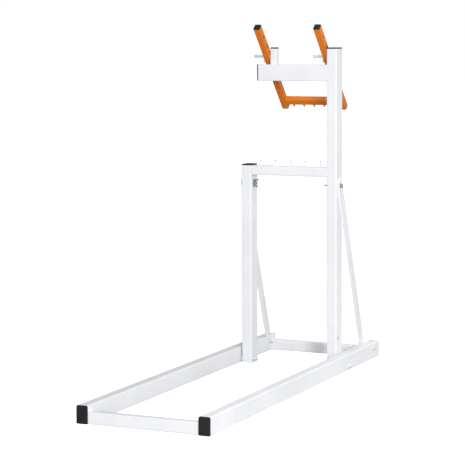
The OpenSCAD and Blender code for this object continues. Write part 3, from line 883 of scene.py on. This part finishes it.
class SAWSTAND_OT_spikes(PieceOperator):
    """Makes the spikes on the lower beam and under the jaw bar, with their welds."""

    bl_idname = "sawstand.spikes"
    bl_label = "Spikes"

    def make(self, sizes, colours, stage):
        level, jaw = Matrix.Identity(4), jaw_matrix(sizes)
        white, orange = white_coat(colours), orange_coat(colours)
        rows = (
            ("lower_spikes", level, 1, "stand", "powder_white", colours.white, white),
            ("jaw_spikes", jaw, -1, "jaw", "powder_orange", colours.orange, orange),
        )
        for node, matrix, up, body, slot, tint, coat in rows:
            bm, welds = bmesh.new(), bmesh.new()
            spike_row(sizes, bm, welds, node, matrix, up)
            worn = worn_coat(f"worn_{slot}_on_steel_plate", tint[:], colours.steel[:])
            new_piece(f"{node}_plates", bm, body, [worn], (node,))
            new_piece(f"{node}_welds", welds, body, [coat], (), BEAD_SHARP)


class SAWSTAND_OT_welds(PieceOperator):
    """Makes the welds of the base, the beams and the jaw."""

    bl_idname = "sawstand.welds"
    bl_label = "Welds"

    def make(self, sizes, colours, stage):
        runs = (
            ("base_welds", base_welds, "stand", "powder_white", white_coat(colours)),
            ("beam_welds", beam_welds, "stand", "powder_white", white_coat(colours)),
            ("jaw_welds", jaw_welds, "jaw", "powder_orange", orange_coat(colours)),
        )
        for name, fill, body, slot, coat in runs:
            bm = bmesh.new()
            fill(sizes, bm)
            new_piece(name, bm, body, [coat], (), BEAD_SHARP)


class SAWSTAND_OT_fasteners(PieceOperator):
    """Makes the bolts, washers, wing nuts and lock nuts."""

    bl_idname = "sawstand.fasteners"
    bl_label = "Fasteners"

    def make(self, sizes, colours, stage):
        nylon = natural_nylon("natural_nylon_ring", colours.nylon[:])
        hole = sizes.bolt_d / 2
        for group, outer, inner, wide in FASTENED:
            zinc = dull_zinc(colours) if wide else bright_zinc(colours)
            centre = middle(f"{group}_bolts")
            outer_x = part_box(outer)[1].x
            inner_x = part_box(inner)[0].x
            head_x = outer_x + sizes.washer_t
            nut_x = inner_x - sizes.washer_t
            end_x = side_span(f"{group}_bolts", 1)[0]
            tail = nut_x - end_x
            bolts, washers = bmesh.new(), bmesh.new()
            for place in side_places(head_x, centre.y, centre.z):
                bolt(sizes, bolts, place, head_x - end_x, tail)
                washer(sizes, washers, place, sizes.washer_d, hole)
            for place in side_places(inner_x, centre.y, centre.z):
                washer(sizes, washers, place, sizes.wide_washer_d if wide else sizes.washer_d, hole)
            new_piece(f"{group}_hex_bolts", bolts, "stand", [zinc], (f"{group}_bolts",))
            new_piece(f"{group}_washer_set", washers, "stand", [zinc], (f"{group}_washers",))
            if wide:
                softened(f"{group}_nuts", f"{group}_wing_nuts", sizes.edge_break, "stand",
                         zinc)
                continue
            nuts = bmesh.new()
            for place in side_places(nut_x, centre.y, centre.z):
                lock_nut(sizes, nuts, place)
            new_piece(f"{group}_lock_nuts", nuts, "stand", [zinc, nylon], (f"{group}_nuts",))


class SAWSTAND_OT_pivot(PieceOperator):
    """Makes the washers and clips on the pivot pins."""

    bl_idname = "sawstand.pivot"
    bl_label = "Pivot washers and clips"

    def make(self, sizes, colours, stage):
        def on_pivot(x):
            return Matrix.Translation((x, PIVOT.y, PIVOT.z))

        zinc = bright_zinc(colours)
        hole = pin_radius() + PIN_GAP
        ring_low, ring_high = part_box("pivot_inner_washers")
        washer_d = ring_high.z - ring_low.z
        for where in ("inner", "outer"):
            node = f"pivot_{where}_washers"
            low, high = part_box(node)
            bm = bmesh.new()
            for x in (low.x + sizes.washer_t, high.x):
                washer(sizes, bm, on_pivot(x), washer_d, hole)
            new_piece(f"{node}_set", bm, "stand", [zinc], (node,))
        low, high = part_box("pin_clips")
        bm = bmesh.new()
        for x in (low.x + sizes.clip_wire / 2, high.x - sizes.clip_wire / 2):
            pin_clip(sizes, bm, on_pivot(x))
        new_piece("hairpin_clips", bm, "stand", [zinc], ("pin_clips",), BEAD_SHARP)


class SAWSTAND_OT_caps(PieceOperator):
    """Makes the plug caps in the open tube ends."""

    bl_idname = "sawstand.caps"
    bl_label = "End caps"

    def make(self, sizes, colours, stage):
        material = black_cap(colours)
        jaw = jaw_matrix(sizes)
        large, beam, small = sizes.large_corner, sizes.beam_corner, sizes.small_corner

        def upper_end(node, matrix=Matrix.Identity(4)):
            """Place on a tube's upper end, and the tube's width and depth, in the frame of matrix."""
            low, high = box_round(own_points(node, matrix))
            size = high - low
            top = Vector(((low.x + high.x) / 2, (low.y + high.y) / 2, high.z))
            return matrix @ at(top, X, Y, Z), size.x, size.y

        rail_low, rail_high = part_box("near_rail")
        rail_mid = middle("near_rail")
        rail = rail_high - rail_low

        def rail_ends(y, way):
            """Places on one end of both rails, and the rails' width and height."""
            ends = [Vector((x, y, rail_mid.z)) for x in (rail_mid.x, -rail_mid.x)]
            return [(at(end, X, way.cross(X), way), rail.x, rail.z) for end in ends]

        beam_low, beam_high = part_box("upper_beam")
        beam_mid = middle("upper_beam")
        beam_size = beam_high - beam_low
        beam_end = at(Vector((beam_low.x, beam_mid.y, beam_mid.z)), Y, -Z, -X)
        front_head = rail_low.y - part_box("rail_front_caps")[0].y
        rear_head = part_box("rail_rear_caps")[1].y - rail_high.y
        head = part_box("post_caps")[1].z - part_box("near_post")[1].z
        batches = (
            ("rail_front_caps", "stand", large, front_head, rail_ends(rail_low.y, -Y)),
            ("rail_rear_caps", "stand", large, rear_head, rail_ends(rail_high.y, Y)),
            ("post_caps", "stand", large, head, [upper_end("near_post"), upper_end("far_post")]),
            ("upper_beam_cap", "stand", beam, head, [(beam_end, beam_size.y, beam_size.z)]),
            ("stub_cap", "stand", small, head, [upper_end("pivot_stub")]),
            ("jaw_arm_caps", "jaw", small, head,
             [upper_end("near_jaw_arm", jaw), upper_end("far_jaw_arm", jaw)]),
        )
        for node, body, corner, height, ends in batches:
            edge = sizes.arm_cap_edge if body == "jaw" else sizes.cap_edge
            bm = bmesh.new()
            for place, w, h in ends:
                end_cap(sizes, bm, place, w, h, corner, height, edge)
            new_piece(f"{node}_moulded", bm, body, [material], (node,))


class SAWSTAND_OT_stage(PieceOperator):
    """Sets up the floor, the soft lights and the camera."""

    bl_idname = "sawstand.stage"
    bl_label = "Studio stage"

    def make(self, sizes, colours, stage):
        scene = bpy.context.scene
        scene.view_settings.view_transform = "Standard"
        self.floor(colours, stage)
        self.air(stage)
        self.soft_light("key_light", stage.key_power, place=(4.85, -6.9, 2.3), target=(0.0, 0.3, 0.55),
                        width=1.5, length=1.5)
        self.soft_light("top_light", stage.top_power, place=(0.45, 0.0, 3.4), target=(0.45, 0.0, 0.0),
                        width=0.4, length=2.2, spread=20)
        self.soft_light("jaw_light", stage.jaw_power, place=(0.0, 0.45, 2.9), target=(0.0, 0.6, 0.97),
                        width=0.3, length=0.3, spread=15)
        lens = bpy.data.cameras.new("studio_camera")
        lens.lens = stage.camera_lens
        lens.sensor_width = SENSOR_MM
        lens.shift_y = stage.camera_shift
        camera = bpy.data.objects.new("studio_camera", lens)
        camera.location = stage.camera_place
        aim = Euler((math.pi / 2 - stage.camera_tilt, 0.0, stage.camera_turn)).to_matrix()
        camera.rotation_euler = (aim @ Matrix.Rotation(stage.camera_roll, 3, "Z")).to_euler()
        scene.collection.objects.link(camera)
        scene.camera = camera

    def floor(self, colours, stage):
        """Pale paper floor, burnt out towards white as on a lit studio sweep."""
        half_width = 40.0
        bm = bmesh.new()
        bmesh.ops.create_grid(bm, x_segments=1, y_segments=1, size=half_width)
        mesh = bpy.data.meshes.new("studio_floor")
        bm.to_mesh(mesh)
        bm.free()
        material = bpy.data.materials.new("matt_white_paper")
        material.use_nodes = True
        tree = material.node_tree
        tree.nodes.clear()
        paper = add_node(tree, "ShaderNodeBsdfDiffuse", {"Color": colours.floor[:]})
        sight = add_node(tree, "ShaderNodeLightPath")
        burn = add_node(tree, "ShaderNodeMath", {0: sight.outputs["Is Camera Ray"], 1: stage.paper},
                        operation="MULTIPLY")
        glow = add_node(tree, "ShaderNodeEmission", {"Strength": burn.outputs[0]})
        both = add_node(tree, "ShaderNodeAddShader", {0: paper.outputs[0], 1: glow.outputs[0]})
        add_node(tree, "ShaderNodeOutputMaterial", {"Surface": both.outputs[0]})
        mesh.materials.append(material)
        floor = bpy.data.objects.new("studio_floor", mesh)
        bpy.context.scene.collection.objects.link(floor)

    def air(self, stage):
        """Soft light from all round, stronger from some sides, and white behind the object."""
        world = bpy.data.worlds.new("studio_air")
        world.use_nodes = True
        tree = world.node_tree
        tree.nodes.clear()
        way = add_node(tree, "ShaderNodeTexCoord").outputs["Generated"]
        sides = add_node(tree, "ShaderNodeSeparateXYZ", {0: way})
        shade = stage.air
        lobes = (("Y", -1.0, stage.air_front), ("Y", 1.0, stage.air_back), ("X", 1.0, stage.air_right),
                 ("Z", 1.0, stage.air_above))
        for axis, end, gain in lobes:
            lobe = add_node(tree, "ShaderNodeMapRange",
                            {"Value": sides.outputs[axis], "From Max": end, "To Max": gain})
            total = add_node(tree, "ShaderNodeMath", {0: lobe.outputs[0], 1: shade}, operation="ADD")
            shade = total.outputs[0]
        sight = add_node(tree, "ShaderNodeLightPath")
        strength = add_node(tree, "ShaderNodeMapRange",
                            {"Value": sight.outputs["Is Camera Ray"], "To Min": shade, "To Max": 1.0})
        sky = add_node(tree, "ShaderNodeBackground",
                       {"Color": (1.0, 1.0, 1.0, 1.0), "Strength": strength.outputs[0]})
        add_node(tree, "ShaderNodeOutputWorld", {"Surface": sky.outputs[0]})
        bpy.context.scene.world = world

    def soft_light(self, name, power, place, target, width, length, spread=180):
        """Soft light that faces a target. A spread under 180 degrees is a beam held in by a grid."""
        lamp = bpy.data.lights.new(name, "AREA")
        lamp.energy = power
        lamp.shape = "RECTANGLE"
        lamp.size = width
        lamp.size_y = length
        lamp.spread = math.radians(spread)
        light = bpy.data.objects.new(name, lamp)
        light.location = place
        light.rotation_euler = (Vector(target) - Vector(place)).to_track_quat("-Z", "Y").to_euler()
        bpy.context.scene.collection.objects.link(light)


OPERATORS = (
    SAWSTAND_OT_coats, SAWSTAND_OT_bars, SAWSTAND_OT_spikes, SAWSTAND_OT_welds, SAWSTAND_OT_fasteners,
    SAWSTAND_OT_pivot, SAWSTAND_OT_caps, SAWSTAND_OT_stage,
)


class SAWSTAND_PT_panel(bpy.types.Panel):
    """Lists the steps that dress the saw stand."""

    bl_idname = "SAWSTAND_PT_panel"
    bl_label = "Saw Stand"
    bl_space_type = "VIEW_3D"
    bl_region_type = "UI"
    bl_category = "Saw Stand"

    def draw(self, context):
        for operator in OPERATORS:
            self.layout.operator(operator.bl_idname)


GROUPS = {
    "saw_stand_sizes": SawStandSizes,
    "saw_stand_colours": SawStandColours,
    "saw_stand_stage": SawStandStage,
}
CLASSES = (*GROUPS.values(), *OPERATORS, SAWSTAND_PT_panel)


def register():
    for cls in CLASSES:
        bpy.utils.register_class(cls)
    for name, group in GROUPS.items():
        setattr(bpy.types.Scene, name, PointerProperty(type=group))


def unregister():
    for name in GROUPS:
        delattr(bpy.types.Scene, name)
    for cls in reversed(CLASSES):
        bpy.utils.unregister_class(cls)


def main():
    """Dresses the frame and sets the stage."""
    register()
    for operator in OPERATORS:
        family, name = operator.bl_idname.split(".")
        getattr(getattr(bpy.ops, family), name)()


if __name__ == "__main__":
    main()
